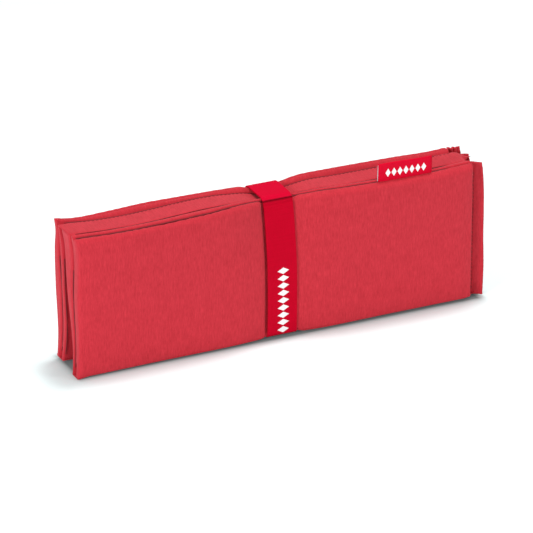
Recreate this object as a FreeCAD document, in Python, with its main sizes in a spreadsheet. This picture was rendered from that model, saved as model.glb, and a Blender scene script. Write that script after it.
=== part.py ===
"""Folding seat pad: four fabric-covered foam panels, folded like a concertina and held by an elastic strap.

The pad stands on its long folded edges. X runs along the panels with the stitched side hem at +X, the front
panel faces -Y, and Z is up from the surface that it stands on. The origin is the middle of the base.

    back panel | middle back panel | middle front panel | front panel
               ^ back fold (base)  ^ top fold           ^ front fold (base)

Each panel is two shallow cloth trays that meet rim to rim round a foam slab. A fold's cloth web is shared
by two panels, so it is two half webs, one on each. The fold turns about a line just outside the web, so
that the half webs and the panels stay clear of each other all the way to flat.
"""

import FreeCAD, Part  # noqa: E401 (FreeCAD has to come first)
import Sketcher
import os

# Driving dimensions, in millimetres.
SIZES = {
    "pad_length": 330.0,
    "hem_width": 10.0,
    "hem_thickness": 1.6,
    "hem_corner": 2.0,
    "panel_height": 112.0,
    "foam_thickness": 10.0,
    "sheet_thickness": 0.4,
    "web_thickness": 0.5,
    "foam_play": 0.05,
    "panel_gap": 0.3,
    "edge_radius": 4.0,
    "strap_width": 25.0,
    "strap_thickness": 1.2,
    "strap_gap": 0.3,
    "strap_side_gap": 0.5,
    "strap_floor_gap": 0.1,
    "strap_bend": 0.8,
    "overlap_length": 25.0,
    "overlap_base": 20.0,
    "label_length": 45.0,
    "label_height": 14.5,
    "label_tape": 0.5,
    "label_hollow": 1.0,
    "label_start": 82.0,
}

# Sizes worked out from the driving ones, as expressions of the spreadsheet.
HALF_THICKNESS = "(sizes.foam_thickness / 2 + sizes.sheet_thickness)"
PITCH = "(sizes.foam_thickness + 2 * sizes.sheet_thickness + sizes.panel_gap)"
STACK_Y = "(-sizes.strap_thickness / 2)"
HEM_END = "((sizes.pad_length + sizes.hem_width) / 2)"
LEFT_END = "(-(sizes.pad_length + sizes.hem_width) / 2)"
PAD_END = "((sizes.pad_length - sizes.hem_width) / 2)"
TOP = "(sizes.web_thickness + sizes.panel_height)"
NOTCH_HALF = "(sizes.strap_width / 2 + sizes.strap_side_gap)"
NOTCH_TOP = "(sizes.strap_floor_gap + sizes.strap_thickness + sizes.strap_gap)"
LOOP_HALF = f"(2 * {PITCH} - sizes.panel_gap / 2 + sizes.strap_gap)"
LOOP_TOP = f"({TOP} + sizes.web_thickness + sizes.strap_gap)"
LOOP_BASE = "(sizes.strap_floor_gap + sizes.strap_thickness)"

# Panel name, its place from the back in pitches off the stack's middle, and whether its top edge is free.
PANELS = [
    ("back_panel", 1.5, True),
    ("middle_back_panel", 0.5, False),
    ("middle_front_panel", -0.5, False),
    ("front_panel", -1.5, True),
]
# Fold name, the panels that it joins, and whether it is at the base.
FOLDS = [
    ("back_fold", ("back_panel", "middle_back_panel"), True),
    ("top_fold", ("middle_back_panel", "middle_front_panel"), False),
    ("front_fold", ("middle_front_panel", "front_panel"), True),
]
TOWARDS_FRONT, TOWARDS_BACK = "front", "back"
CLOSE = 1e-4

doc = FreeCAD.newDocument("seat_pad")


def fill_sheet():
    """The spreadsheet of driving dimensions: names in column A, numbers in column B."""
    sheet = doc.addObject("Spreadsheet::Sheet", "sizes")
    for row, (alias, value) in enumerate(SIZES.items(), start=1):
        sheet.set(f"A{row}", alias)
        sheet.set(f"B{row}", str(value))
        sheet.setAlias(f"B{row}", alias)
    doc.recompute()


def new_body(label, y_middle=None):
    """A body of its own for one sub-part, set back or forward to its place in the stack."""
    body = doc.addObject("PartDesign::Body", label)
    body.Label = label
    if y_middle is not None:
        body.setExpression(".Placement.Base.y", y_middle)
    return body


def new_sketch(body, role, corners):
    """A closed polygon on one of the body's origin planes. Each corner is a pair of expressions."""
    sketch = body.newObject("Sketcher::SketchObject", f"{body.Label}_sketch")
    plane = [feature for feature in body.Origin.OriginFeatures if feature.Role == role][0]
    sketch.AttachmentSupport = [(plane, "")]
    sketch.MapMode = "FlatFace"
    points = [FreeCAD.Vector(sketch.evalExpression(u), sketch.evalExpression(v), 0) for u, v in corners]
    for start, end in zip(points, points[1:] + points[:1]):
        sketch.addGeometry(Part.LineSegment(start, end))
    sides = len(corners)
    for side in range(sides):
        sketch.addConstraint(Sketcher.Constraint("Coincident", side, 2, (side + 1) % sides, 1))
    for side, (corner, point) in enumerate(zip(corners, points)):
        for kind, expression, value in zip(("DistanceX", "DistanceY"), corner, (point.x, point.y)):
            index = sketch.addConstraint(Sketcher.Constraint(kind, side, 1, value))
            sketch.setExpression(f"Constraints[{index}]", expression)
    doc.recompute()
    return sketch


def extrude(body, kind, sketch, length, side="One side", reversed_=False):
    """A Pad or Pocket of a sketch."""
    feature = body.newObject(f"PartDesign::{kind}", f"{body.Label}_{kind.lower()}")
    feature.Profile = sketch
    feature.SideType = side
    feature.Reversed = reversed_
    feature.setExpression("Length", length)
    doc.recompute()
    return feature


def round_edges(body, radius, chosen):
    """Fillets the edges of the body's last feature that chosen(edge) picks."""
    base = body.Tip
    names = [f"Edge{n}" for n, edge in enumerate(base.Shape.Edges, start=1) if chosen(edge)]
    fillet = body.newObject("PartDesign::Fillet", f"{body.Label}_fillet")
    fillet.Base = (base, names)
    fillet.setExpression("Radius", radius)
    doc.recompute()
    return fillet


def lies_at(edge, **place):
    """True if both ends of the edge have each named coordinate."""
    ends = [vertex.Point for vertex in edge.Vertexes]
    return all(abs(getattr(end, axis) - value) < CLOSE for end in ends for axis, value in place.items())


def along(edge, axis):
    """True if the edge runs along that axis."""
    return abs(getattr(edge.tangentAt(edge.FirstParameter), axis)) > 0.9


def lower_edge(offset, left, right):
    """The base line from left to right, raised by offset, with the notch that the strap runs through."""
    half, top = f"({NOTCH_HALF} + {offset})", f"({NOTCH_TOP} + {offset})"
    notch = [(f"-{half}", offset), (f"-{half}", top), (half, top), (half, offset)]
    return [(left, offset)] + notch + [(right, offset)]


def panel_outline(inset):
    """A panel's outline in X and Z, drawn in by inset all round."""
    left, right = f"({LEFT_END} + {inset})", f"({PAD_END} - {inset})"
    top = f"({TOP} - {inset})"
    return lower_edge(f"(sizes.web_thickness + {inset})", left, right) + [(right, top), (left, top)]


def rounded_sides(top_is_free, depth, inset):
    """Picks the edges to round of a panel's face at y = depth: its ends, and its top where free."""
    measure = doc.getObject("sizes").evalExpression
    left, right = measure(f"{LEFT_END} + {inset}"), measure(f"{PAD_END} - {inset}")
    top = measure(f"{TOP} - {inset}")

    def chosen(edge):
        ends = lies_at(edge, y=depth, x=left) or lies_at(edge, y=depth, x=right)
        return ends or (top_is_free and lies_at(edge, y=depth, z=top))

    return chosen


def cover_sheet(label, y_middle, facing, top_is_free):
    """One cloth tray of a panel, from its face to the seam at the panel's middle."""
    body = new_body(label, y_middle)
    faces_front = facing == TOWARDS_FRONT
    wall = "sizes.sheet_thickness"
    cavity = f"({HALF_THICKNESS} - {wall})"
    sign = -1 if faces_front else 1
    measure = doc.getObject("sizes").evalExpression

    outside = new_sketch(body, "XZ_Plane", panel_outline("0"))
    extrude(body, "Pad", outside, HALF_THICKNESS, reversed_=not faces_front)
    solid = body.Shape.Volume
    inside = new_sketch(body, "XZ_Plane", panel_outline(wall))
    extrude(body, "Pocket", inside, cavity, reversed_=faces_front)
    if body.Shape.Volume > solid / 2:
        raise RuntimeError(f"{label}: the pocket points away from the tray")
    # The cavity's edges go first: with the outer ones rounded first, the cavity would break through them.
    floor, face = sign * measure(cavity), sign * measure(HALF_THICKNESS)
    round_edges(body, f"sizes.edge_radius - {wall}", rounded_sides(top_is_free, floor, wall))
    round_edges(body, "sizes.edge_radius", rounded_sides(top_is_free, face, "0"))
    return body


def foam_slab(label, y_middle, top_is_free):
    """The slab that fills a panel's two trays."""
    body = new_body(label, y_middle)
    inset = "(sizes.sheet_thickness + sizes.foam_play)"
    thickness = "(sizes.foam_thickness - 2 * sizes.foam_play)"
    outline = new_sketch(body, "XZ_Plane", panel_outline(inset))
    extrude(body, "Pad", outline, thickness, side="Symmetric")
    face = doc.getObject("sizes").evalExpression(f"{thickness} / 2")
    faces = [rounded_sides(top_is_free, depth, inset) for depth in (-face, face)]
    radius = "sizes.edge_radius - sizes.sheet_thickness"
    round_edges(body, radius, lambda edge: any(chosen(edge) for chosen in faces))
    return body


def side_hem(label, y_middle):
    """The flat stitched margin beside a panel's pad, at the panel's middle."""
    body = new_body(label, y_middle)
    low = "sizes.web_thickness"
    corners = [(PAD_END, low), (HEM_END, low), (HEM_END, TOP), (PAD_END, TOP)]
    outline = new_sketch(body, "XZ_Plane", corners)
    extrude(body, "Pad", outline, "sizes.hem_thickness", side="Symmetric")
    end = doc.getObject("sizes").evalExpression(HEM_END)
    round_edges(body, "sizes.hem_corner", lambda edge: lies_at(edge, x=end) and along(edge, "y"))
    return body


def half_web(label, y_middle, at_base):
    """Half of a fold's cloth web, as wide as the panel that it rides on."""
    body = new_body(label, y_middle)
    if at_base:
        upper = lower_edge("sizes.web_thickness", LEFT_END, HEM_END)
        corners = lower_edge("0", LEFT_END, HEM_END) + upper[::-1]
    else:
        low, high = TOP, f"({TOP} + sizes.web_thickness)"
        corners = [(LEFT_END, low), (HEM_END, low), (HEM_END, high), (LEFT_END, high)]
    outline = new_sketch(body, "XZ_Plane", corners)
    extrude(body, "Pad", outline, f"2 * {HALF_THICKNESS}", side="Symmetric")
    return body


def loop_profile(grow):
    """The strap's inner outline in Y and Z, grown outwards."""
    near, far = f"(-{LOOP_HALF} - {grow})", f"({LOOP_HALF} + {grow})"
    low, high = f"({LOOP_BASE} - {grow})", f"({LOOP_TOP} + {grow})"
    return [(near, low), (far, low), (far, high), (near, high)]


def elastic_strap():
    """The closed band of elastic round the middle of the stack."""
    body = new_body("elastic_strap", STACK_Y)
    width = "sizes.strap_width"
    thickness = "sizes.strap_thickness"
    outside = new_sketch(body, "YZ_Plane", loop_profile(thickness))
    extrude(body, "Pad", outside, width, side="Symmetric")
    round_edges(body, f"sizes.strap_bend + {thickness}", lambda edge: along(edge, "x"))
    inside = new_sketch(body, "YZ_Plane", loop_profile("0"))
    extrude(body, "Pocket", inside, width, side="Symmetric")
    half = doc.getObject("sizes").evalExpression(LOOP_HALF)

    def inner_bend(edge):
        return along(edge, "x") and (lies_at(edge, y=half) or lies_at(edge, y=-half))

    round_edges(body, "sizes.strap_bend", inner_bend)
    return body


def strap_overlap():
    """The band's end, sewn over its start on the back."""
    body = new_body("strap_sewn_overlap", STACK_Y)
    near = f"({LOOP_HALF} + sizes.strap_thickness)"
    far = f"({near} + sizes.strap_thickness)"
    low, high = "sizes.overlap_base", "(sizes.overlap_base + sizes.overlap_length)"
    outline = new_sketch(body, "YZ_Plane", [(near, low), (far, low), (far, high), (near, high)])
    extrude(body, "Pad", outline, "sizes.strap_width", side="Symmetric")
    return body


def side_label(y_middle):
    """A woven tape folded over into a loop, with its legs in the front panel's top seam."""
    body = new_body("side_label", y_middle)
    body.setExpression(".Placement.Base.x", "sizes.label_start + sizes.label_length / 2")
    half = "(sizes.label_hollow / 2)"
    outer, top = f"({half} + sizes.label_tape)", f"({TOP} + sizes.label_height)"
    tape = [(f"-{outer}", TOP), (outer, TOP), (outer, top), (f"-{outer}", top)]
    hollow_top = f"({top} - sizes.label_tape)"
    hollow = [(f"-{half}", TOP), (half, TOP), (half, hollow_top), (f"-{half}", hollow_top)]
    extrude(body, "Pad", new_sketch(body, "YZ_Plane", tape), "sizes.label_length", side="Symmetric")
    extrude(body, "Pocket", new_sketch(body, "YZ_Plane", hollow), "sizes.label_length", side="Symmetric")
    high = doc.getObject("sizes").evalExpression(top)
    round_edges(body, half, lambda edge: along(edge, "x") and lies_at(edge, z=high))
    return body


def build():
    """Every sub-part of the pad, as a list of bodies."""
    fill_sheet()
    y_middle = {name: f"{STACK_Y} + {place} * {PITCH}" for name, place, _ in PANELS}
    bodies = []
    for number, (name, _, top_is_free) in enumerate(PANELS):
        # Each fold turns the pad over, so the outer sheet faces the back and the front by turns.
        facings = (TOWARDS_BACK, TOWARDS_FRONT) if number % 2 == 0 else (TOWARDS_FRONT, TOWARDS_BACK)
        for side, facing in zip(("outer", "inner"), facings):
            bodies.append(cover_sheet(f"{name}_{side}_sheet", y_middle[name], facing, top_is_free))
        bodies.append(foam_slab(f"{name}_foam", y_middle[name], top_is_free))
        bodies.append(side_hem(f"{name}_side_hem", y_middle[name]))
    for fold, panels, at_base in FOLDS:
        for side, panel in zip(("rear", "fore"), panels):
            bodies.append(half_web(f"{fold}_{side}_web", y_middle[panel], at_base))
    bodies += [elastic_strap(), strap_overlap(), side_label(y_middle["front_panel"])]
    return bodies


def check(bodies):
    """Stops if any object failed or any sub-part isn't one sound solid."""
    doc.recompute()
    for item in doc.Objects:
        if {"Invalid", "Error"} & set(item.State):
            raise RuntimeError(f"{item.Label} failed: {item.State}")
    for body in bodies:
        shape = body.Shape
        if shape.isNull() or not shape.isValid() or len(shape.Solids) != 1:
            raise RuntimeError(f"{body.Label} isn't one valid solid")


bodies = build()
check(bodies)
os.makedirs("parts", exist_ok=True)
for body in bodies:
    body.Shape.exportStep(f"parts/{body.Label}.step")
    box = body.Shape.BoundBox
    print(f"{body.Label}: {box.XMin:.2f}, {box.YMin:.2f}, {box.ZMin:.2f} to", end=" ")
    print(f"{box.XMax:.2f}, {box.YMax:.2f}, {box.ZMax:.2f}")
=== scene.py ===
"""Looks of the folding seat pad: four fabric-covered foam panels in a concertina, held by an elastic strap.

The shapes are worked out in millimetres in the CAD frame, and become metres when a mesh is made. Each piece
is drawn in its nominal place first. Then settle() moves it to where the soft stack really rests: the strap
pinches the middle, the free top edges lean out between the strap and the ends, and the folded pairs fan out
at the left-hand foot.
"""

import math

import bpy
import numpy as np
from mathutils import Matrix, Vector
from mathutils.kdtree import KDTree


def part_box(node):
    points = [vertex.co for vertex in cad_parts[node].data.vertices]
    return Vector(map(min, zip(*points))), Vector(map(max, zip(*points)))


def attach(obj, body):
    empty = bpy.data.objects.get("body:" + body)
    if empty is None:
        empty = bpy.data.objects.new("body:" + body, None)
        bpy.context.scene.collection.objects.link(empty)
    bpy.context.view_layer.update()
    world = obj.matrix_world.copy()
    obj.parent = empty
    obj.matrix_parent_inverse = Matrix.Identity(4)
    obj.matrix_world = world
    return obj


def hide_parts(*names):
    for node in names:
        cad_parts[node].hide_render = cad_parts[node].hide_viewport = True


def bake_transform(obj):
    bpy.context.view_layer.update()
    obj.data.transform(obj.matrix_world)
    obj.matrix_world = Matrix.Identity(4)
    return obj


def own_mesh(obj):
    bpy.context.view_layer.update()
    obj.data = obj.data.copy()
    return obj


MM = 0.001

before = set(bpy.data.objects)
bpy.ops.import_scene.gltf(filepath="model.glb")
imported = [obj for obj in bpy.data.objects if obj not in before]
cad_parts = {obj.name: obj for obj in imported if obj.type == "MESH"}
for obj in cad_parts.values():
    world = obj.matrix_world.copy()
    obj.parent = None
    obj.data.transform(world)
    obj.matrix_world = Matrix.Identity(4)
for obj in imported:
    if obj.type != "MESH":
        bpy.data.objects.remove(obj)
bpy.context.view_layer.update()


# ---- places, from the frame

def box_mm(node):
    """Lowest and highest corner of a CAD node, in millimetres."""
    low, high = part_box(node)
    return np.array(low) / MM, np.array(high) / MM


PANELS = ("back_panel", "middle_back_panel", "middle_front_panel", "front_panel")
BACK, REAR_MIDDLE, FORE_MIDDLE, FRONT = PANELS
FREE_TOP = (BACK, FRONT)
MIDDLE = {name: sum(box_mm(f"{name}_side_hem")).tolist()[1] / 2 for name in PANELS}
LEFT, _, BASE = box_mm("front_panel_outer_sheet")[0]
PAD_END, _, TOP = box_mm("front_panel_outer_sheet")[1]
HEM_END = box_mm("front_panel_side_hem")[1][0]
HALF = (box_mm("front_panel_inner_sheet")[1][1] - box_mm("front_panel_outer_sheet")[0][1]) / 2
STACK_Y = sum(MIDDLE.values()) / 4
STRAP_HALF = box_mm("elastic_strap")[1][0] - 0.5
STRAP_SHIFT = -0.6
STRAP_THICK = 1.2
STRAP_CLEAR = 0.12
HEM_THICK = 1.6
WEB_THICK = 0.5


# ---- small maths

def smooth(value, start, end):
    """0 before start, 1 after end, and a smooth step between them."""
    t = np.clip((np.asarray(value, float) - start) / (end - start), 0, 1)
    return t * t * (3 - 2 * t)


def bump(value, centre, width):
    """A bell of height 1 about a centre."""
    return np.exp(-(((np.asarray(value, float) - centre) / width) ** 2))


def through(value, knots):
    """A smooth curve through (place, height) knots."""
    places, heights = np.array(knots, float).T
    value = np.clip(value, places[0], places[-1])
    slopes = np.gradient(heights, places)
    i = np.clip(np.searchsorted(places, value, side="right") - 1, 0, len(places) - 2)
    gap = places[i + 1] - places[i]
    t = (value - places[i]) / gap
    return (
        heights[i] * (1 + 2 * t) * (1 - t) ** 2
        + slopes[i] * gap * t * (1 - t) ** 2
        + heights[i + 1] * t * t * (3 - 2 * t)
        + slopes[i + 1] * gap * t * t * (t - 1)
    )


def row(xs, y, z):
    """Points along X, at one Y and Z or at one for each of them."""
    return np.stack(np.broadcast_arrays(xs, y, z), axis=1)


def lengths_along(line):
    """How far along a line each of its points lies."""
    return np.concatenate([[0], np.cumsum(np.linalg.norm(np.diff(line, axis=0), axis=1))])


def flat_places(across, along):
    """The flat place of every point of a grid of cloth, in metres."""
    return np.stack(np.broadcast_arrays(across, along), axis=2) * MM


def ripple(x, z, seed):
    """Slow unevenness of a soft surface, between about -1 and 1."""
    draw = np.random.default_rng(seed)
    total = 0
    for _ in range(5):
        kx, kz = draw.uniform(0.02, 0.09), draw.uniform(-0.07, 0.07)
        total = total + np.sin(kx * x + kz * z + draw.uniform(0, 6.3))
    return total / 3


# ---- how the soft stack rests

# How far each top edge leans back (+) or forward (-), along X, besides what the squeezing does to it.
LEAN_TOP = {
    FRONT: ((-170, 0), (-130, -3.6), (-97, -2.8), (-64, -1.2), (-32, 0.8), (0, 2.9), (18, 1.4),
            (52, -1.4), (78, -2.6), (137, -2.6), (170, 0)),
    "middle": ((-170, 0), (-130, -2.4), (-97, -2.0), (-64, -1.0), (-32, 0.4), (0, 2.9), (18, 1.4),
               (52, -0.8), (78, -1.4), (137, -1.6), (170, 0)),
    BACK: ((-170, 1), (-150, 0.5), (-97, 0.6), (-64, 0.5), (-32, 0.8), (0, 2.9), (18, 1.6),
           (52, 0.2), (78, 0.4), (137, -0.8), (170, -1)),
}
# How far each top edge stands above its nominal place.
RISE_TOP = {
    FRONT: ((-170, 0.6), (-130, 0.6), (-97, 0.6), (-64, 0.8), (-34, 0.4), (-16, -1.8), (0, -3.0),
            (16, -2.2), (34, -0.2), (52, 0), (110, -0.5), (150, 0), (170, 0)),
    "middle": ((-170, -0.6), (-120, -1.4), (-34, -1.2), (-17, -3.4), (-10, -5.4), (0, -5.6), (17, -3.4),
               (34, -1.7), (52, -1.9), (137, -1.8), (170, -2.2)),
    BACK: ((-170, 0.7), (-158, -1.4), (-148, -1.9), (-130, -1.5), (-97, -0.5), (-64, -0.8),
           (-45, -0.9), (-32, -0.7), (-17, -0.8), (-12, -2.0), (0, -2.4), (13, -2.0), (26, -0.7),
           (52, -0.8), (85, -1.3), (110, -1.3), (150, -1.8), (160, -1.2), (170, -0.8)),
}
# Where the left-hand foot of each folded pair is pinched to: nominal depths, then pinched depths.
FOOT = {
    "back": ((0, 10.8, 21.6), (6.0, 12.0, 17.8)),
    "front": ((-21.6, -10.8, 0), (-22.6, -14.6, -12.4)),
}
# How far each pair's foot is lifted and drawn in there, and how far the front pair's corner droops.
FOOT_UP = {"back": 1.5, "front": 0.0}
FOOT_IN = {"back": 0.8, "front": 0.1}
FOOT_DROOP = 1.1
# The hollow that the strap presses into the foot, and how far the right-hand half stands off the ground.
STRAP_HOLLOW = 1.7
RIGHT_LIFT = 0.7
# How far each left-hand end is drawn in, by height.
END_PULL = {
    BACK: ((0, 0), (14, 1.2), (60, 1.3), (90, 1.9), (104, 2.5), (113, 1.3)),
    "middle": ((0, 0), (14, 1.4), (60, 1.4), (104, 1.4), (113, 0)),
}
# How far the boundaries between panels move back at the left-hand end, by height: the one between the two
# back panels, then the one in the middle of the stack.
END_SHIFT = (
    (10.8, ((0, 0), (30, -1.5), (57, -2.4), (75, -0.5), (90, 1.8), (113, 1.0))),
    (0, ((0, 0), (30, 0.3), (57, 2.2), (88, 6.6), (113, 8.6))),
)


def squeeze(x, z):
    """The stack's depth, as a share of the nominal one: the strap squeezes the free tops most."""
    return 1.025 - bump(x, 0, 27) * (0.155 + 0.235 * smooth(z, 52, TOP))


def settle(points, panel):
    """Moves nominal points of one panel, in millimetres, to where the soft stack rests."""
    p = np.array(points, float)
    x, y, z = p.T.copy()
    new_x, new_y, new_z = p.T
    high = np.clip(z / TOP, 0, 1.05)
    key = panel if panel in FREE_TOP else "middle"
    new_y[:] = STACK_Y + (y - STACK_Y) * squeeze(x, z) + through(x, LEAN_TOP[key]) * high ** 1.6
    new_z[:] = z + through(x, RISE_TOP[key]) * high ** 3

    # The strap runs through a hollow that it presses into the foot, and the cover dips under its edge.
    under = smooth(x, -STRAP_HALF - 5, -STRAP_HALF) - smooth(x, STRAP_HALF, STRAP_HALF + 5)
    new_z += STRAP_HOLLOW * under * (1 - smooth(z, 0, 16))
    if panel == FRONT:
        face = smooth(MIDDLE[panel] - y, 2, HALF)
        dip = bump(x, -STRAP_HALF - 0.8, 2.6) + 0.6 * bump(x, STRAP_HALF + 0.8, 3.0)
        gap = bump(x, STRAP_SHIFT - STRAP_HALF - 0.1, 1.15)
        new_y += (0.9 + 1.0 * smooth(z, 90, 106)) * dip * face * smooth(z, 4, 14)
        new_y += (2.3 - 1.2 * smooth(z, 82, 98)) * gap * face * smooth(z, 1, 5)
        new_z -= 1.8 * dip * smooth(z, TOP - 16, TOP - 3) * smooth(MIDDLE[panel] - y, -1, 1)
    new_z += RIGHT_LIFT * smooth(x, 10, 90) * (1 - smooth(z, 0, 50))
    # The left-hand end pulls in between its corners, and each folded pair is pinched at its foot.
    end = 1 - smooth(x, LEFT, LEFT + 30)
    new_x += end * through(z, END_PULL.get(panel, END_PULL["middle"]))
    for place, knots in END_SHIFT:
        new_y += end * np.clip(1 - np.abs(y - place) / (2 * HALF), 0, 1) * through(z, knots)
    pair = "back" if panel in PANELS[:2] else "front"
    nominal, pinched = FOOT[pair]
    near = (1 - smooth(x, LEFT, LEFT + 80)) * np.clip(1 - z / 80, 0, 1) ** 1.25
    new_y += (np.interp(y, nominal, pinched) - np.clip(y, nominal[0], nominal[-1])) * near
    new_z += FOOT_UP[pair] * near
    new_x += FOOT_IN[pair] * near * (1 - smooth(x, LEFT, LEFT + 40))
    if pair == "front":
        new_z -= FOOT_DROOP * (1 - smooth(x, LEFT, LEFT + 10)) * (1 - smooth(z, 0, 14))
    return p


# ---- meshes

def make_object(name, points, faces, uvs=None, materials=(), face_material=None):
    """A smooth-shaded mesh object from points in millimetres. uvs has one pair for each face corner."""
    mesh = bpy.data.meshes.new(name)
    mesh.from_pydata((np.asarray(points, float) * MM).tolist(), [], [list(map(int, f)) for f in faces])
    if uvs is not None:
        layer = mesh.uv_layers.new(name="cloth")
        layer.data.foreach_set("uv", np.asarray(uvs, np.float32).ravel())
    for material in materials:
        mesh.materials.append(material)
    if face_material is not None:
        mesh.polygons.foreach_set("material_index", np.asarray(face_material, np.int32))
    mesh.polygons.foreach_set("use_smooth", [True] * len(mesh.polygons))
    mesh.update()
    thing = bpy.data.objects.new(name, mesh)
    bpy.context.scene.collection.objects.link(thing)
    return thing


def mesh_points(mesh):
    """A mesh's points in millimetres."""
    places = np.zeros(len(mesh.vertices) * 3)
    mesh.vertices.foreach_get("co", places)
    return places.reshape(-1, 3) / MM


def steps(start, end, fine, coarse, edge):
    """Places from start to end: fine steps within edge of both ends, coarse ones between."""
    count_edge = max(1, round(edge / fine))
    count_middle = max(1, round((end - start - 2 * edge) / coarse))
    return np.concatenate([
        np.linspace(start, start + edge, count_edge, endpoint=False),
        np.linspace(start + edge, end - edge, count_middle, endpoint=False),
        np.linspace(end - edge, end, count_edge + 1),
    ])


def lattice_shell(xs, ys, zs):
    """The outside of a lattice: its points, its quads, and for each quad corner the cloth's flat place."""
    sizes = (len(xs), len(ys), len(zs))
    axes = (xs, ys, zs)
    index, points, faces, uvs = {}, [], [], []

    def at(cell):
        if cell not in index:
            index[cell] = len(points)
            points.append([axes[k][cell[k]] for k in range(3)])
        return index[cell]

    for axis in range(3):
        one, two = [k for k in range(3) if k != axis]
        for last in (False, True):
            fixed = sizes[axis] - 1 if last else 0
            for i in range(sizes[one] - 1):
                for j in range(sizes[two] - 1):
                    quad = []
                    for a, b in ((i, j), (i + 1, j), (i + 1, j + 1), (i, j + 1)):
                        cell = [0, 0, 0]
                        cell[axis], cell[one], cell[two] = fixed, a, b
                        quad.append(tuple(cell))
                    if last == (axis == 1):
                        quad.reverse()
                    faces.append([at(cell) for cell in quad])
                    # X always runs across the ribs, and Z or Y along them.
                    across, along = (1, 2) if axis == 0 else (0, two)
                    uvs += [(axes[across][c[across]] * MM, axes[along][c[along]] * MM) for c in quad]
    return np.array(points, float), faces, uvs


def rounded(points, low, high, radii):
    """Rounds the edges of a box of points. radii(points) gives the three radii at each point."""
    radius = radii(points)
    inner = np.clip(points, low + radius, high - radius)
    away = (points - inner) / radius
    # The outline's own corners stay nearly square, and only its two faces are rounded towards it.
    outline = (np.abs(away[:, 0]) ** CORNER + np.abs(away[:, 2]) ** CORNER) ** (1 / CORNER)
    length = np.maximum(np.hypot(away[:, 1], outline), 1e-9)[:, None]
    return inner + away / length * radius


def grid_shell(name, grid, thickness, uv, materials, closed=False, inside=0):
    """A sheet of cloth with a thickness, from a grid of points on its middle surface.

    grid is (rows, columns, 3), uv is (rows, columns, 2). closed joins the last column to the first. inside
    is the material number of the side that the normals point away from."""
    rows, columns = grid.shape[:2]
    along_rows = np.gradient(grid, axis=0)
    if closed:
        along_columns = (np.roll(grid, -1, axis=1) - np.roll(grid, 1, axis=1)) / 2
    else:
        along_columns = np.gradient(grid, axis=1)
    normal = np.cross(along_rows, along_columns)
    normal /= np.maximum(np.linalg.norm(normal, axis=2, keepdims=True), 1e-9)
    sides = [grid + normal * thickness / 2, grid - normal * thickness / 2]
    points = np.concatenate([side.reshape(-1, 3) for side in sides])
    count = rows * columns
    spans = columns if closed else columns - 1
    faces, uvs, numbers = [], [], []

    def add(corners, places, number):
        faces.append(corners)
        uvs.extend(places)
        numbers.append(number)

    for i in range(rows - 1):
        for j in range(spans):
            k = (j + 1) % columns
            cells = [(i, j), (i + 1, j), (i + 1, k), (i, k)]
            places = [uv[a, b].tolist() for a, b in cells]
            if k < j:
                step = uv[0, 1] - uv[0, 0]
                places[2], places[3] = (uv[i + 1, j] + step).tolist(), (uv[i, j] + step).tolist()
            add([a * columns + b for a, b in cells], places, 0)
            add([count + a * columns + b for a, b in cells[::-1]], places[::-1], inside)
    rims = [[(0, j) for j in range(columns)], [(rows - 1, j) for j in range(columns)][::-1]]
    if closed:
        rims = [r + r[:1] for r in rims]
    else:
        rims += [[(i, 0) for i in range(rows)][::-1], [(i, columns - 1) for i in range(rows)]]
    for line in rims:
        for (a, b), (c, d) in zip(line, line[1:]):
            one, two = a * columns + b, c * columns + d
            place = [uv[a, b].tolist(), uv[c, d].tolist()]
            add([one, two, count + two, count + one], [place[0], place[1], place[1], place[0]], 0)
    return make_object(name, points, faces, uvs, materials, numbers)


# ---- materials

def srgb(red, green, blue):
    """A colour given as 8-bit screen values, as linear light with alpha."""
    shares = [value / 255 for value in (red, green, blue)]
    return (*[v / 12.92 if v <= 0.0404 else ((v + 0.055) / 1.055) ** 2.4 for v in shares], 1.0)


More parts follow.
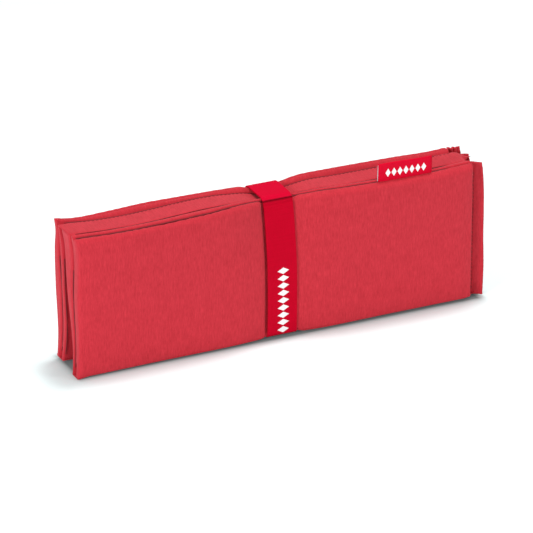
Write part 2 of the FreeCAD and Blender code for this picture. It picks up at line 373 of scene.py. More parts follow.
class Nodes:
    """Short calls for building a material's node tree."""

    def __init__(self, name):
        self.material = bpy.data.materials.new(name)
        self.material.use_nodes = True
        self.tree = self.material.node_tree
        self.shader = self.tree.nodes["Principled BSDF"]

    def new(self, kind, **settings):
        node = self.tree.nodes.new(kind)
        for key, value in settings.items():
            setattr(node, key, value)
        return node

    def link(self, source, target):
        self.tree.links.new(source, target)

    def put(self, value, socket):
        """Links a socket, or sets a number."""
        if isinstance(value, bpy.types.NodeSocket):
            self.link(value, socket)
        else:
            socket.default_value = value

    def maths(self, operation, *values):
        node = self.new("ShaderNodeMath", operation=operation)
        for value, socket in zip(values, node.inputs):
            self.put(value, socket)
        return node.outputs[0]

    def add(self, first, *others):
        for other in others:
            first = self.maths("ADD", first, other)
        return first

    def times(self, one, two):
        return self.maths("MULTIPLY", one, two)

    def paint(self, colour):
        self.put(colour, self.shader.inputs["Base Color"])

    def flat(self, scale=(1, 1)):
        """The cloth's flat place, times a scale in each direction."""
        uv = self.new("ShaderNodeUVMap", uv_map="cloth")
        stretch = self.new("ShaderNodeMapping")
        stretch.inputs["Scale"].default_value = (*scale, 1)
        self.link(uv.outputs[0], stretch.inputs[0])
        return stretch.outputs[0]

    def noise(self, vector, scale, detail=2.0, roughness=0.5):
        node = self.new("ShaderNodeTexNoise")
        self.link(vector, node.inputs["Vector"])
        node.inputs["Scale"].default_value = scale
        node.inputs["Detail"].default_value = detail
        node.inputs["Roughness"].default_value = roughness
        return node.outputs["Fac"]

    def bands(self, vector, period, direction):
        """A wave of that period in metres, between 0 and 1."""
        node = self.new("ShaderNodeTexWave", bands_direction=direction)
        self.link(vector, node.inputs["Vector"])
        node.inputs["Scale"].default_value = 0.314159 / period
        return node.outputs["Fac"]

    def ramp(self, value, low, high):
        """Maps 0..1 to low..high."""
        node = self.new("ShaderNodeMapRange")
        self.link(value, node.inputs["Value"])
        node.inputs["To Min"].default_value = low
        node.inputs["To Max"].default_value = high
        return node.outputs[0]

    def mix(self, share, one, two, blend="MIX"):
        node = self.new("ShaderNodeMix", data_type="RGBA", blend_type=blend)
        self.put(share, node.inputs[0])
        self.put(one, node.inputs[6])
        self.put(two, node.inputs[7])
        return node.outputs[2]

    def bump(self, height, strength, distance):
        node = self.new("ShaderNodeBump")
        self.link(height, node.inputs["Height"])
        node.inputs["Strength"].default_value = strength
        node.inputs["Distance"].default_value = distance
        self.link(node.outputs[0], self.shader.inputs["Normal"])

    def finish(self, roughness, sheen, sheen_roughness, tint, specular):
        for name, value in (
            ("Sheen Weight", sheen), ("Sheen Roughness", sheen_roughness), ("Sheen Tint", tint),
            ("Specular IOR Level", specular),
        ):
            self.shader.inputs[name].default_value = value
        self.put(roughness, self.shader.inputs["Roughness"])
        return self.material


def fabric():
    """Ribbed polyester cover cloth: fine upright ribs, uneven yarns, and a little wear in the tone."""
    n = Nodes("cover_cloth")
    flat = n.flat()
    rib = n.bands(flat, 0.0007, "X")
    pick = n.bands(flat, 0.0006, "Y")
    yarn = n.noise(n.flat((1, 0.12)), 1700, 2.0, 0.6)
    streak = n.noise(n.flat((1, 0.08)), 900, 1.0, 0.5)
    patch = n.noise(flat, 120, 5.0, 0.7)
    tone = n.add(n.ramp(streak, -0.36, 0.36), n.ramp(yarn, -0.8, 0.8), n.ramp(patch, -0.4, 0.4),
                 n.ramp(n.times(rib, pick), -0.12, 0.12))
    share = n.add(n.times(tone, 0.9), 0.5)
    colour = n.mix(share, srgb(180, 34, 46), srgb(212, 52, 66))
    n.paint(colour)
    n.bump(n.add(n.times(rib, 0.6), n.times(pick, 0.4), n.times(yarn, 0.7)), 0.35, 0.00018)
    return n.finish(n.ramp(yarn, 0.72, 0.9), 0.12, 0.4, srgb(255, 235, 240), 0.2)


def lozenges(n, centre_u, half_width, start_v, end_v, count):
    """A mask of a row of lozenges along v."""
    uv = n.new("ShaderNodeSeparateXYZ")
    n.link(n.flat(), uv.inputs[0])
    from_middle = n.maths("ABSOLUTE", n.maths("SUBTRACT", uv.outputs[0], centre_u))
    across = n.maths("DIVIDE", from_middle, half_width)
    along = n.maths("DIVIDE", n.maths("SUBTRACT", uv.outputs[1], start_v), (end_v - start_v) / count)
    inside = n.times(n.maths("GREATER_THAN", along, 0.0), n.maths("LESS_THAN", along, float(count)))
    from_centre = n.maths("ABSOLUTE", n.maths("SUBTRACT", n.maths("FRACT", along), 0.5))
    reach = n.add(across, n.times(from_centre, 2.35))
    return n.times(inside, n.maths("LESS_THAN", reach, 1.0))


def elastic(print_place, crease, top_end):
    """Woven elastic: ribs along the band, fine picks across it, and a printed row of lozenges.

    The stretch over the top, between the crease and top_end along the band, is painted paler: painted
    light, as if lit from above.
    The crease itself is painted shade: a fine dark line."""
    n = Nodes("woven_elastic")
    flat = n.flat()
    rib = n.bands(flat, 0.0009, "X")
    pick = n.bands(flat, 0.0008, "Y")
    yarn = n.noise(n.flat((1, 0.08)), 1300, 2.0, 0.6)
    cross = n.noise(n.flat((0.06, 1)), 700, 2.0, 0.6)
    tone = n.add(n.ramp(yarn, -0.3, 0.3), n.ramp(cross, -0.35, 0.35),
                 n.ramp(n.times(rib, pick), -0.25, 0.25))
    share = n.add(n.times(tone, 0.6), 0.5)
    colour = n.mix(share, srgb(178, 0, 26), srgb(208, 2, 44))
    # Painted light: the band over the top is painted paler, as if lit from above.
    place = n.new("ShaderNodeSeparateXYZ")
    n.link(flat, place.inputs[0])
    from_middle = n.maths("ABSOLUTE", n.maths("SUBTRACT", place.outputs[1], (crease + top_end) / 2))
    painted_light_top_mask = n.maths("LESS_THAN", from_middle, abs(crease - top_end) / 2)
    painted_top_light = n.mix(share, srgb(192, 0, 36), srgb(221, 3, 54))
    colour = n.mix(painted_light_top_mask, colour, painted_top_light)
    # Painted shade: a fine dark line along the crease, where the fold would throw shadow.
    from_crease = n.maths("ABSOLUTE", n.maths("SUBTRACT", place.outputs[1], crease))
    fold = n.maths("SUBTRACT", 1.0, n.maths("MINIMUM", n.maths("DIVIDE", from_crease, 0.0009), 1.0))
    colour = n.mix(fold, colour, srgb(96, 0, 12))
    mask = lozenges(n, *print_place)
    ink = n.mix(n.ramp(yarn, 0.0, 1.0), srgb(236, 232, 234), srgb(252, 250, 250))
    n.paint(n.mix(mask, colour, ink))
    n.bump(n.add(n.times(rib, 0.7), n.times(pick, 0.5), n.times(mask, 0.4)), 0.4, 0.00016)
    return n.finish(n.ramp(yarn, 0.75, 0.9), 0.02, 0.4, srgb(255, 60, 90), 0.05)


def plain_weave(name, dark, light, period, roughness, sheen):
    """A plain woven or twisted material in two close tones."""
    n = Nodes(name)
    flat = n.flat()
    rib, pick = n.bands(flat, period, "X"), n.bands(flat, period * 1.15, "Y")
    speck = n.noise(flat, 0.35 / period, 3.0, 0.6)
    share = n.add(n.times(n.add(rib, pick), 0.22), n.ramp(speck, 0.05, 0.5))
    n.paint(n.mix(share, dark, light))
    n.bump(n.add(rib, pick), 0.3, period * 0.2)
    return n.finish(roughness, sheen, 0.4, light, 0.3)


def foam():
    """Open-cell foam: pale, porous, without shine."""
    n = Nodes("cut_foam")
    cells = n.new("ShaderNodeTexVoronoi")
    n.link(n.flat(), cells.inputs["Vector"])
    cells.inputs["Scale"].default_value = 900
    patch = n.noise(n.flat(), 60, 3.0, 0.5)
    share = n.add(n.times(cells.outputs["Distance"], 0.6), n.ramp(patch, 0.0, 0.5))
    n.paint(n.mix(share, srgb(196, 186, 160), srgb(236, 230, 212)))
    n.bump(cells.outputs["Distance"], 0.5, 0.0004)
    return n.finish(0.95, 0.0, 0.5, (1, 1, 1, 1), 0.1)


def woven_tape(print_place):
    """The label's satin tape, with a woven row of lozenges."""
    n = Nodes("label_satin")
    flat = n.flat()
    thread = n.bands(flat, 0.00035, "Y")
    speck = n.noise(n.flat((0.2, 1)), 1500, 2.0, 0.6)
    share = n.add(n.times(thread, 0.4), n.ramp(speck, 0.1, 0.5))
    colour = n.mix(share, srgb(200, 0, 34), srgb(226, 4, 48))
    mask = lozenges(n, *print_place)
    n.paint(n.mix(mask, colour, srgb(246, 243, 244)))
    n.bump(n.add(thread, n.times(mask, 0.8)), 0.3, 0.00008)
    return n.finish(n.ramp(speck, 0.55, 0.7), 0.0, 0.4, srgb(255, 60, 90), 0.06)


# The contact shade: the mat's half length and half depth in metres, how far the shade reaches, and how
# steeply it fades.
FOOTPRINT = (0.166, 0.021)
SHADE_WIDTH = 0.03
SHADE_FALL = 8.0
FLOOR_GLOW = 0.12


def floor_material():
    """A matt studio floor, nearly white, with a soft contact shade round the foot of the mat.

    Its faint cyan balances the red that the mat throws on it."""
    n = Nodes("studio_floor")
    place = n.new("ShaderNodeTexCoord").outputs["Object"]
    tone = n.noise(place, 3.0, 2.0, 0.5)
    colour = n.mix(tone, (0.855, 0.95, 0.95, 1), (0.875, 0.97, 0.97, 1))
    parts = n.new("ShaderNodeSeparateXYZ")
    n.link(place, parts.inputs[0])
    outside = [n.maths("MAXIMUM", n.maths("SUBTRACT", n.maths("ABSOLUTE", parts.outputs[axis]), reach), 0.0)
               for axis, reach in enumerate(FOOTPRINT)]
    distance = n.maths("SQRT", n.add(*[n.times(side, side) for side in outside]))
    near = n.maths("SUBTRACT", 1.0, n.maths("MINIMUM", n.maths("DIVIDE", distance, SHADE_WIDTH), 1.0))
    shade = n.mix(n.maths("POWER", near, SHADE_FALL), (1, 1, 1, 1), (0.3, 0.31, 0.31, 1))
    n.paint(n.mix(1.0, colour, shade, "MULTIPLY"))
    n.put(n.mix(1.0, (0.62, 1, 1, 1), shade, "MULTIPLY"), n.shader.inputs["Emission Color"])
    n.shader.inputs["Emission Strength"].default_value = FLOOR_GLOW
    return n.finish(0.9, 0.0, 0.5, (1, 1, 1, 1), 0.05)


# ---- covers and foam

# Free top edges: how far the outer and inner half slope back from the seam, and how far they drop.
FREE_SLOPE = {FRONT: ((5.2, 5.2), (1.8, 1.6)), BACK: ((3.2, 4.0), (5.2, 6.4))}
OUTSIDE = {FRONT: -1, BACK: 1}
# Radii of a cover's edges: at the folds, at the left-hand and right-hand end, and where a face turns in.
FOLD_EDGE = 2.0
END_EDGE = 2.2
RIGHT_EDGE = 1.6
FACE_EDGE = 3.0
LEFT_FACE_EDGE = 2.2
# The power of the outline's corners: the higher, the squarer.
CORNER = 10
SEAM_GROOVE = 2.6
# The farthest that the simulated swelling moves a point.
PUFF = 1.3
SIM_FRAMES = 20
CORE_INSET = 1.6


def panel_lattice(inset, fine, coarse):
    """A panel's lattice about its own middle plane, drawn in by inset."""
    xs = steps(LEFT + inset, PAD_END - inset, fine, coarse, 6)
    if inset == 0:
        # Finer columns beside the strap, where the cover dips sharply.
        xs = np.concatenate([xs[np.abs(xs) > 18.5], np.arange(-18, 18.1, 0.75)])
        xs.sort()
    zs = steps(BASE + inset, TOP - inset, fine, coarse, 8)
    ys = np.array([0, 0.035, 0.08, 0.15, 0.27, 0.45, 0.66, 0.86, 1]) * (HALF - inset)
    return xs, np.concatenate([-ys[:0:-1], ys]), zs


def panel_radii(name, inset):
    """How a panel's edges are rounded: fuller along a free top edge than at a fold."""
    def radii(points):
        x, y, z = points.T
        face = np.full(len(points), FACE_EDGE)
        edge = np.full(len(points), FOLD_EDGE)
        # The left-hand end is more nearly square, above all along the front panel's crisp outer edge.
        full = 1 - smooth(x, LEFT + 3, LEFT + 10)
        if name == FRONT:
            full = full * (y > 0)
        face += (LEFT_FACE_EDGE - FACE_EDGE) * full
        end = np.where(x > 0, RIGHT_EDGE, END_EDGE)
        if name in FREE_TOP:
            outer, inner = FREE_SLOPE[name]
            side = y * OUTSIDE[name] > 0
            # The strap crushes the slope flat.
            crush = 1 - 0.8 * bump(x, 0, 19)
            high = smooth(z, TOP - 24, TOP - 9) * crush
            face += (np.where(side, outer[0], inner[0]) - face) * high
            top = z > (BASE + TOP) / 2
            edge = np.where(top, np.where(side, outer[1], inner[1]) * crush, edge)
        return np.stack([end, np.minimum(face, HALF - inset - 0.1), edge], axis=1)
    return radii


def panel_shape(name, inset, fine, coarse):
    """A rounded panel about its own middle plane: points, faces and flat places."""
    points, faces, uvs = lattice_shell(*panel_lattice(inset, fine, coarse))
    return rounded(points, points.min(0), points.max(0), panel_radii(name, inset)), faces, uvs


def swollen(name, points, faces):
    """Where cloth simulation moves a cover when the foam presses it from inside, as an offset per point."""
    thing = make_object(f"{name}_trial", points, faces)
    remesh = thing.modifiers.new("even", "REMESH")
    remesh.mode = "VOXEL"
    remesh.voxel_size = 4 * MM
    graph = bpy.context.evaluated_depsgraph_get()
    even = bpy.data.meshes.new_from_object(thing.evaluated_get(graph))
    bpy.data.objects.remove(thing)
    trial = bpy.data.objects.new(f"{name}_cloth", even)
    bpy.context.scene.collection.objects.link(trial)
    before = mesh_points(even)
    cloth = trial.modifiers.new("cloth", "CLOTH")
    for key, value in (
        ("quality", 6), ("mass", 0.2), ("tension_stiffness", 30), ("compression_stiffness", 30),
        ("bending_stiffness", 0.4), ("use_pressure", True), ("uniform_pressure_force", 4),
    ):
        setattr(cloth.settings, key, value)
    cloth.settings.effector_weights.gravity = 0
    cloth.point_cache.frame_start, cloth.point_cache.frame_end = 1, SIM_FRAMES
    scene = bpy.context.scene
    for number in range(1, SIM_FRAMES + 1):
        scene.frame_set(number)
    shown = trial.evaluated_get(bpy.context.evaluated_depsgraph_get())
    moved = mesh_points(shown.to_mesh()) - before
    shown.to_mesh_clear()
    scene.frame_set(1)
    length = np.maximum(np.linalg.norm(moved, axis=1, keepdims=True), 1e-9)
    moved *= np.minimum(1, PUFF / length)
    bpy.data.objects.remove(trial)
    tree = KDTree(len(before))
    for i, place in enumerate(before):
        tree.insert(place, i)
    tree.balance()
    offsets = np.zeros((len(points), 3))
    for i, place in enumerate(points):
        near = tree.find_n(place, 6)
        weights = np.array([1 / (d + 1.0) ** 2 for _, _, d in near])
        offsets[i] = (moved[[k for _, k, _ in near]] * weights[:, None]).sum(0) / weights.sum()
    return offsets


def seam_shift(name, x):
    """Where the top seam lies behind the panel's middle: the front panel's wanders forward at the left."""
    return -1.1 * smooth(-x, 25, 60) * (name == FRONT)


def cover_points(name, points, offsets):
    """A cover's final points: swollen where it is bare, seamed along a free top edge, and settled."""
    p = points.copy()
    x, y, z = p.T
    face_side = np.sign(y)
    # A middle panel has no outside: nan equals neither side.
    outside = OUTSIDE.get(name, math.nan)
    bare = np.where(face_side == outside, 1.0, 0.08)
    ends = smooth(-x, -LEFT - 6, -LEFT) + smooth(x, PAD_END - 6, PAD_END)
    free = name in FREE_TOP
    crown = smooth(z, TOP - 10, TOP - 3) if free else np.zeros(len(p))
    share = np.clip(bare + 0.5 * crown, 0, 1)
    y += offsets[:, 1] * share * (1 - 0.7 * np.clip(ends, 0, 1))
    x += np.clip(offsets[:, 0], -0.5, 0.5) * 0.6
    z += np.clip(offsets[:, 2], 0, 0.6) * crown

    near_face = smooth(np.abs(y), HALF - 2.5, HALF - 0.2) * np.clip(bare, 0.1, 1)
    y += face_side * near_face * 0.28 * ripple(x, z, PANELS.index(name) + 3)
    if free:
        width = 0.5 + 0.4 * smooth(-x, 25, 60)
        groove = bump(y, seam_shift(name, x), width) * smooth(z, TOP - 5, TOP - 1.5)
        pucker = bump(np.abs(y), 2.2, 1.8) * smooth(z, TOP - 7, TOP - 2)
        z -= SEAM_GROOVE * groove
        z += pucker * 0.16 * np.sin(x * 0.83 + 1.7 * np.sin(x * 0.11)) * face_side
        # The inner half stands a little proud of the seam, as a roll.
        z += 0.8 * bump(-y * outside, 1.8, 1.4) * smooth(z, TOP - 5, TOP - 1)
    # The panels stand slightly apart at the left-hand end.
    apart = np.where(face_side == outside, 0.0, 0.22)
    y *= 1 - apart * (1 - smooth(x, LEFT + 16, LEFT + 38))
    if name == BACK:
        # Its right-hand end is drawn in under the top seam, which opens the pleats in the hem.
        x -= 2.8 * smooth(x, PAD_END - 12, PAD_END) * smooth(z, TOP - 18, TOP - 8)
    # Small pockets at the left-hand corners, where the folds begin: at the foot and under the top web.
    fold_side = {BACK: -1, REAR_MIDDLE: 1, FORE_MIDDLE: -1, FRONT: 1}[name]
    corner = (1 - smooth(x, LEFT, LEFT + 6)) * smooth(y * fold_side, 0.5, HALF)
    x += 5.0 * corner * (1 - smooth(z, 3, 12))
    if name in PANELS[:2]:
        slit = (1 - smooth(x, LEFT + 12, LEFT + 24)) * smooth(y * fold_side, 0.5, HALF)
        y -= (2.0 * corner + 1.2 * slit) * fold_side * smooth(z, TOP - 12, TOP - 5)
        z -= 2.0 * corner * smooth(z, TOP - 10, TOP - 2) * (name == REAR_MIDDLE)
    y += MIDDLE[name]
    return settle(p, name)


CLOTH = fabric()
FOAM = foam()
covers = {}


def build_panels():
    """The four padded covers and the foam in each."""
    trial_shapes = {}
    for name in PANELS:
        points, faces, uvs = panel_shape(name, 0, 1.0, 3.0)
        kind = name in FREE_TOP
        if kind not in trial_shapes:
            trial_shapes[kind] = swollen(name, points, faces)
        offsets = trial_shapes[kind]
        cover = make_object(f"{name}_cover", cover_points(name, points, offsets), faces, uvs, [CLOTH])
        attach(cover, name)
        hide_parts(f"{name}_outer_sheet", f"{name}_inner_sheet")
        covers[name] = cover

        points, faces, uvs = panel_shape(name, CORE_INSET, 2.0, 6.0)
        x, y, z = points.T
        y *= 0.56 - 0.46 * bump(x, -5, 25)
        y += MIDDLE[name] + 0.6 * bump(x, -STRAP_HALF, 8) * (name == FRONT)
        z -= 4.0 * smooth(z, TOP - 24, TOP) * (name in FREE_TOP)
        core = make_object(f"{name}_core", settle(points, name), faces, uvs, [FOAM])
        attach(core, name)
        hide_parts(f"{name}_foam")


# ---- fold webs

FOLDS = (
    ("back_fold", BACK, REAR_MIDDLE, True),
    ("top_fold", REAR_MIDDLE, FORE_MIDDLE, False),
    ("front_fold", FORE_MIDDLE, FRONT, True),
)


def web_profile(rear, fore, at_base):
    """The web's line in Y and Z round the two panels' folded edges, from the rear face to the fore face."""
    level = BASE - WEB_THICK / 2 if at_base else TOP + WEB_THICK / 2
    up = 1 if at_base else -1
    outer = [MIDDLE[rear] + HALF, MIDDLE[fore] - HALF]
    line = []
    for side, edge in zip((1, -1), outer):
        arc = []
        for angle in np.linspace(0.12 * math.pi, math.pi / 2, 6):
            arc.append((
                edge - side * FACE_EDGE * (1 - math.cos(angle)) + side * 0.1,
                level + up * (FOLD_EDGE if at_base else 2.6) * (1 - math.sin(angle)),
                rear if side > 0 else fore,
            ))
        line.append(arc)
    start, end = line[0][-1][0], line[1][-1][0]
    flat = [(y, level, rear if y > (MIDDLE[rear] + MIDDLE[fore]) / 2 else fore)
            for y in np.linspace(start, end, 15)[1:-1]]
    return line[0] + flat + line[1][::-1]


def build_webs():
    """One web over each fold, shaped round the two panels' folded edges."""
    for fold, rear, fore, at_base in FOLDS:
        profile = web_profile(rear, fore, at_base)
        xs = steps(LEFT + 0.4, HEM_END, 1.5, 4, 12)
        seam = (MIDDLE[rear] + MIDDLE[fore]) / 2
        grid = np.zeros((len(xs), len(profile), 3))
        for j, (depth, height, panel) in enumerate(profile):
            grid[:, j] = settle(row(xs, depth, height), panel)
        x, y, z = np.moveaxis(grid, 2, 0)
        if not at_base:
            # At the left-hand end its rear edge draws away from the back panel.
            loose = 2.9 - 2.2 * smooth(xs, LEFT + 4, LEFT + 9) - 0.7 * smooth(xs, LEFT + 14, LEFT + 24)
            y -= loose[:, None] * smooth(y, seam + 5, seam + 2 * HALF)
            # Past the foam the band drops and curls down towards the hems.
            past = smooth(xs, PAD_END - 2, HEM_END)[:, None]
            spread = (y - seam) / (2 * HALF)
            z -= past * (2.0 + 2.5 * np.abs(spread) + 2.5 * (spread < 0))
            y -= past * spread * 5.0
            beyond = np.clip(x - PAD_END, 0, None)
            x -= beyond * np.clip(0.45 - 1.1 * spread, 0, 0.9)
        else:
            # At the hems only the strip between them is left of the web.
            past = smooth(xs, PAD_END - 4, PAD_END + 3)[:, None]
            spread = (y - seam) / (2 * HALF)
            y[:] = seam + (y - seam) * (1 - 0.46 * past)
        lengths = lengths_along([place[:2] for place in profile])
        uv = flat_places(xs[:, None], lengths[None])
        if at_base:
            grid, uv = grid[:, ::-1], uv[:, ::-1]
        web = grid_shell(f"{fold}_web", grid, WEB_THICK, uv, [CLOTH])
        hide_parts(f"{fold}_rear_web", f"{fold}_fore_web")
        height = (BASE if at_base else TOP) * MM
        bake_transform(web)


# ---- side hems

def build_hems():
    """The flat stitched margin beside each panel, with a rolled outer edge."""
    for name in PANELS:
        short = {BACK: 2.6, FRONT: 0.6}.get(name, 0.0)
        xs = np.linspace(PAD_END - 4, HEM_END - short, 40)
        zs = steps(BASE, TOP - 0.2, 1.0, 4, 6)
        x, z = np.meshgrid(xs, zs, indexing="ij")
        share = np.clip((x - PAD_END) / (HEM_END - PAD_END), 0, 1)
        bow = through(z, ((0, 2.2), (25, 2.4), (70, 1.7), (98, 1.2), (108, 0.2), (113, 0))) - 0.2
        wave = 0.35 * np.sin(z * 0.13 + MIDDLE[name]) * share
        wave = wave - 2.1 * smooth(x, HEM_END - short - 2.2, HEM_END - short + 0.6) * smooth(TOP - z, 0, 5)
        drop = {REAR_MIDDLE: 1.6, FORE_MIDDLE: 7.5, FRONT: 1.8}.get(name, 0.0)
        lower = z - drop * smooth(z, TOP - 30, TOP) * share
        if name == FRONT:
            lower = lower - 1.2 * (1 - smooth(z, 0, 30)) * share
            wave = wave + 2.0 * (1 - smooth(x, PAD_END + 1, HEM_END - 3))
        if name == BACK:
            # Two small pleats where the top seam's end is gathered.
            valleys = 2.4 * bump(x, 158.4, 0.9) + 1.6 * bump(x, 162.0, 0.5)
            ridges = bump(x, 160.4, 0.6) + bump(x, 163.7, 0.7)
            wave = wave + (valleys - ridges) * smooth(z, 97, 105)
        points = np.stack([x + bow * share, MIDDLE[name] + wave, lower], axis=2)
        grid = settle(points.reshape(-1, 3), name).reshape(points.shape)
        uv = flat_places(x, z)
        hem = grid_shell(f"{name}_hem", grid, HEM_THICK * 0.8, uv, [CLOTH])
        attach(hem, name)
        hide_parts(f"{name}_side_hem")


# ---- sewing thread, and dark cords of painted shade

# The thread's dark red is its own colour in the real stitches, and painted shade in the cords.
THREAD_AND_SHADE = plain_weave("sewing_thread_and_seam_shade", srgb(96, 12, 20), srgb(134, 24, 34), 0.0003, 0.6, 0.0)


def stitches(name, line, body, sink, radius=0.17, stitch=2.3, gap=1.0, deep=1.6):
    """A row of bowed stitches along a line of points. Their ends sink deep radii into the cloth."""
    along = lengths_along(line)
    sink = np.asarray(sink, float)
    points, faces, uvs = [], [], []
    rings, sides = max(6, round(stitch / 1.5)), 6
    for start in np.arange(0.5, along[-1] - stitch, stitch + gap):
        at = np.linspace(start, start + stitch, rings)
        centre = np.stack([np.interp(at, along, line[:, k]) for k in range(3)], axis=1)
        bow = np.abs(np.linspace(-1, 1, rings)) ** 3
        centre += sink * (bow * deep * radius)[:, None]
        ahead = np.gradient(centre, axis=0)
        ahead /= np.linalg.norm(ahead, axis=1, keepdims=True)
        side = np.cross(ahead, sink)
        side /= np.linalg.norm(side, axis=1, keepdims=True)
        first = len(points)
        for i in range(rings):
            thick = radius * (1 - 0.28 * bow[i])
            for k in range(sides):
                angle = 2 * math.pi * k / sides
                points.append(centre[i] + thick * (math.cos(angle) * side[i] - math.sin(angle) * sink))
        for i in range(rings - 1):
            for k in range(sides):
                n = (k + 1) % sides
                corners = ((i, k, k), (i, n, k + 1), (i + 1, n, k + 1), (i + 1, k, k))
                faces.append([first + ring * sides + corner for ring, corner, _ in corners])
                uvs += [(turn * radius * MM, at[ring] * MM) for ring, _, turn in corners]
        for ring in (range(sides)[::-1], range((rings - 1) * sides, rings * sides)):
            faces.append([first + k for k in ring])
            uvs += [(0, 0)] * sides
    thing = make_object(name, points, faces, uvs, [THREAD_AND_SHADE])
    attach(thing, body)


def shade_cord(name, line, body, sink, radius, strand=22.0, deep=0.1):
    """Painted shade: a dark strand of thread laid where a seam's groove or a gap holds only shade, as long
    strands end to end, which sink only a little at their ends.
    """
    stitches(name, line, body, sink, radius, strand, 0.0, deep)


def straight(start, end, panel, step=2.0):
    """Settled points along a straight nominal line."""
    start, end = np.array(start, float), np.array(end, float)
    count = max(2, int(np.linalg.norm(end - start) / step))
    return settle(start + (end - start) * np.linspace(0, 1, count)[:, None], panel)


def build_stitching():
    """Dark cords of painted shade along the seams and in the gaps, and topstitching by the top fold and on
    the hems.
    """
    # Painted shade: a dark cord in each free top seam's groove.
    for name in FREE_TOP:
        y = MIDDLE[name]
        xs = np.arange(LEFT + 2, PAD_END, 2.0)
        low = 0.55 + 0.45 * smooth(-xs, 25, 60) + 0.75 * (name == BACK)
        seam = settle(row(xs, y + seam_shift(name, xs), TOP - low), name)
        shade_cord(f"{name}_seam_shade_strand", seam, name, (0, 0, -1), 0.7 if name == FRONT else 0.3)
    y = MIDDLE[REAR_MIDDLE] + 2.4
    top = TOP + WEB_THICK + 0.12
    band = straight((LEFT + 6, y, top), (PAD_END - 3, y, top), REAR_MIDDLE)
    stitches("top_fold_stitching", band, REAR_MIDDLE, (0, 0, -1))
    # Painted shade: dark cords along the edges of the top fold's band.
    for name, y, z in (
        (REAR_MIDDLE, MIDDLE[REAR_MIDDLE] + HALF - 1.6, TOP + 0.4),
        (FORE_MIDDLE, MIDDLE[FORE_MIDDLE] - HALF + 1.1, TOP + 0.1),
    ):
        edge = straight((LEFT + 5, y, z), (PAD_END - 4, y, z), name)
        shade_cord(f"{name}_edge_shade_strand", edge, name, (0, 0, -1), 0.3, deep=0.2)
    # Painted shade: dark cords in the gaps between the panels at the left-hand end.
    for name, side, thick in (
        (BACK, -1, 0.38),
        (REAR_MIDDLE, -1, 0.38),
        (FRONT, 1, 0.5),
    ):
        y = MIDDLE[name] + side * HALF
        end = straight((LEFT + 1.3, y, 6), (LEFT + 0.9, y, TOP - 4), name)
        shade_cord(f"{name}_end_shade_strand", end, name, (1, 0, 0), thick, strand=26.0)
    for name in PANELS:
        for side, face in ((-1, "fore"), (1, "rear")):
            y = MIDDLE[name] + side * (HEM_THICK * 0.4 + 0.1)
            line = straight((PAD_END + 2.2, y, 5), (PAD_END + 2.2, y, TOP - 8), name)
            stitches(f"{name}_hem_stitching_{face}", line, name, (0, -side, 0))


# ---- strap

def hull(points):
    """The convex outline of points in a plane, anticlockwise."""
    ordered = sorted(map(tuple, points))

    def half(sequence):
        kept = []
        for p in sequence:
            while len(kept) > 1 and (
                (kept[-1][0] - kept[-2][0]) * (p[1] - kept[-2][1])
                - (kept[-1][1] - kept[-2][1]) * (p[0] - kept[-2][0])
            ) <= 0:
                kept.pop()
            kept.append(p)
        return kept[:-1]

    return np.array(half(ordered) + half(ordered[::-1]))


def evenly(loop, count):
    """A closed line again, with evenly spaced points, and its length."""
    closed = np.concatenate([loop, loop[:1]])
    along = lengths_along(closed)
    at = np.linspace(0, along[-1], count, endpoint=False)
    return np.stack([np.interp(at, along, closed[:, k]) for k in range(2)], axis=1), along[-1]


def strap_line():
    """The taut line of the strap in Y and Z: the outline of what it is stretched round."""
    around = []
    for thing in [*covers.values(), *[bpy.data.objects[f"{fold}_web"] for fold, *_ in FOLDS]]:
        places = mesh_points(thing.data)
        around.append(places[np.abs(places[:, 0]) < STRAP_HALF + 1][:, 1:])
    line = hull(np.concatenate(around))
    line, _ = evenly(line, 720)
    ahead, behind = np.roll(line, -1, axis=0), np.roll(line, 1, axis=0)
    tangent = ahead - behind
    normal = np.stack([tangent[:, 1], -tangent[:, 0]], axis=1)
    normal /= np.linalg.norm(normal, axis=1, keepdims=True)
    line = line + normal * (STRAP_THICK / 2 + STRAP_CLEAR)
    for _ in range(6):
        line = (np.roll(line, 1, axis=0) + 2 * line + np.roll(line, -1, axis=0)) / 4
    line, length = evenly(line, 480)
    line[:, 1] = np.maximum(line[:, 1], STRAP_THICK / 2 + 0.05)
    # The band is creased where it turns down over the front panel's edge, and the crease stands proud.
    crease = line[np.argmax(line[:, 1] - 0.8 * line[:, 0])]
    away = np.linalg.norm(line - crease, axis=1)
    below = bump(away, 2.4, 1.3) * (line[:, 1] < crease[1] - 0.8)
    line += bump(away, 0, 0.9)[:, None] * np.array([-0.9, 0.5]) + below[:, None] * np.array([0.5, 0])
    start = np.argmin(np.abs(line[:, 1] - 30) + (line[:, 0] < 0) * 1000)
    return np.roll(line, -start, axis=0), length


def flat_strap(name, line, length, closed, thickness, widths, material, start=0.0):
    """A flat band of elastic along a line in Y and Z, with closer columns at its selvedges."""
    xs = np.array([-1, -0.985, -0.94, -0.7, -0.35, 0, 0.35, 0.7, 0.94, 0.985, 1]) * widths + STRAP_SHIFT
    grid = np.stack([row(x, *line.T) for x in xs])
    spans = len(line) if closed else len(line) - 1
    uv = flat_places(xs[:, None], start + np.arange(len(line))[None] * length / spans)
    return grid_shell(name, grid, thickness, uv, [material], closed=closed)


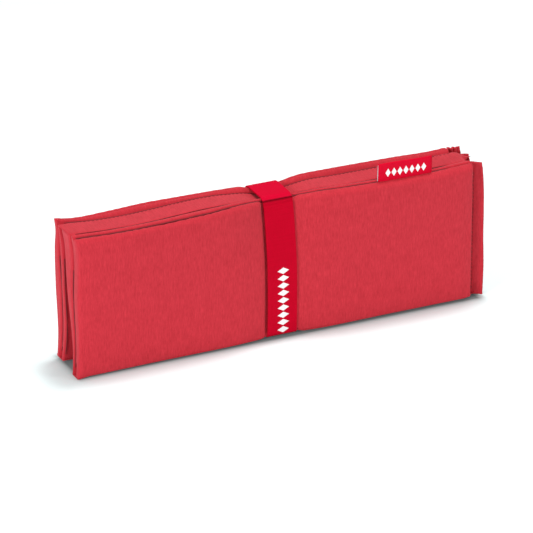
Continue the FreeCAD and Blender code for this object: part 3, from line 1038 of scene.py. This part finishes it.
def build_strap():
    """The closed band, printed down its front, and the lap of its two ends on the back."""
    line, length = strap_line()
    along = np.arange(len(line)) * length / len(line)
    front = (line[:, 0] < STACK_Y) & (line[:, 1] > 3) & (line[:, 1] < 58)
    start, end = along[front].min(), along[front].max()
    crease = along[np.argmax(line[:, 1] - 0.8 * line[:, 0])]
    top_end = along[np.argmax(line[:, 1] + 0.8 * line[:, 0])]
    material = elastic((0.0, 0.0048, start * MM, end * MM, 9), crease * MM, top_end * MM)
    strap = flat_strap("strap_band", line, length, True, STRAP_THICK, STRAP_HALF, material)
    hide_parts("elastic_strap")
    low, high = box_mm("strap_sewn_overlap")
    back = line[(line[:, 0] > STACK_Y) & (line[:, 1] > low[2]) & (line[:, 1] < high[2])]
    back = back[np.argsort(back[:, 1])] + np.array([STRAP_THICK, 0])
    overlap = flat_strap("strap_lap", back, float(np.ptp(back[:, 1])), False, STRAP_THICK, STRAP_HALF - 0.1,
                         material, start=-60)
    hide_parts("strap_sewn_overlap")
    for thing, flat in ((strap, length), (overlap, np.ptp(back[:, 1]))):
        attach(thing, "strap")
        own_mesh(thing)


# ---- label

def build_label():
    """A woven tape folded into a loop, with both legs in the front panel's top seam."""
    low, high = box_mm("side_label")
    middle = MIDDLE[FRONT]
    start, end, top = low[0] - 2.6, high[0] - 2.6, high[2] - 0.4
    xs = np.linspace(start, end, 24)
    sides = [(-0.55 - 0.35 * math.sin((z - TOP + 3) / (top - TOP + 2) * math.pi), z)
             for z in np.linspace(TOP - 3, top - 1, 9)]
    bend = [(-0.62 * math.cos(a), top - 1 + 0.95 * math.sin(a))
            for a in np.linspace(0.25, math.pi - 0.25, 7)]
    profile = sides + bend + [(-y, z) for y, z in sides[::-1]]
    grid = np.zeros((len(xs), len(profile), 3))
    for j, (y, z) in enumerate(profile):
        lean = 0.05 * (z - TOP)
        points = row(xs, middle + y - lean, z)
        points[:, 2] += 0.35 * np.sin((xs - start) * 0.11) * max(0.0, (z - TOP) / 14)
        # It stands on the seam, so it moves as the seam does.
        seam = row(xs, middle, TOP)
        grid[:, j] = points + settle(seam, FRONT) - seam
    lengths = lengths_along(profile)
    uv = flat_places(lengths[None], xs[:, None] - start)
    face = woven_tape(((3 + 6.4) * MM, 3.4 * MM, 5.5 * MM, (end - start - 4.5) * MM, 7))
    back = plain_weave("label_back", srgb(176, 168, 172), srgb(228, 222, 225), 0.0004, 0.7, 0.1)
    label = grid_shell("woven_label", grid, 0.5, uv, [face, back], inside=1)
    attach(label, "front_panel")
    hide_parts("side_label")


# ---- stage

def look_along(azimuth, elevation):
    """The direction of a camera turned by azimuth from Y towards X, and tilted down by elevation."""
    a, e = math.radians(azimuth), math.radians(elevation)
    return Vector((math.sin(a) * math.cos(e), math.cos(a) * math.cos(e), -math.sin(e)))


def area_light(name, place, target, size, power):
    lamp = bpy.data.lights.new(name, "AREA")
    lamp.shape, lamp.size, lamp.energy = "SQUARE", size, power
    thing = bpy.data.objects.new(name, lamp)
    thing.location = place
    thing.rotation_mode = "QUATERNION"
    thing.rotation_quaternion = (Vector(target) - Vector(place)).to_track_quat("-Z", "Y")
    bpy.context.scene.collection.objects.link(thing)


def build_stage():
    """A white studio: floor, sky light, a soft key overhead, one at the left, and a long lens."""
    wide = 6.0 / MM
    level = -1.2
    corners = [(x, y, level) for x, y in ((-wide, -wide), (wide, -wide), (wide, wide), (-wide, wide))]
    floor = make_object("floor", corners, [(0, 1, 2, 3)], None, [floor_material()])
    world = bpy.data.worlds.new("studio")
    bpy.context.scene.world = world
    world.use_nodes = True
    colour, strength = world.node_tree.nodes["Background"].inputs[:2]
    colour.default_value, strength.default_value = (1, 1, 1, 1), 0.55
    centre = (0, 0, 0.05)
    area_light("key", (0.2, 0.16, 1.9), centre, 0.35, 18.5)
    area_light("left", (-1.9, -1.05, 0.75), centre, 0.4, 23)
    area_light("fill", (0.95, -1.0, 0.45), centre, 0.3, 2.8)
    camera = bpy.data.cameras.new("camera")
    camera.sensor_width = 36
    camera.lens = 337.711
    camera.clip_start, camera.clip_end = 0.1, 50
    thing = bpy.data.objects.new("camera", camera)
    thing.location = (-1.47682, -3.10408, 1.62215)
    thing.rotation_mode = "QUATERNION"
    thing.rotation_quaternion = look_along(25.39, 24.59).to_track_quat("-Z", "Y")
    bpy.context.scene.collection.objects.link(thing)
    bpy.context.scene.camera = thing
    bpy.context.scene.view_settings.view_transform = "Standard"


build_panels()
build_webs()
build_hems()
build_stitching()
build_strap()
build_label()
build_stage()
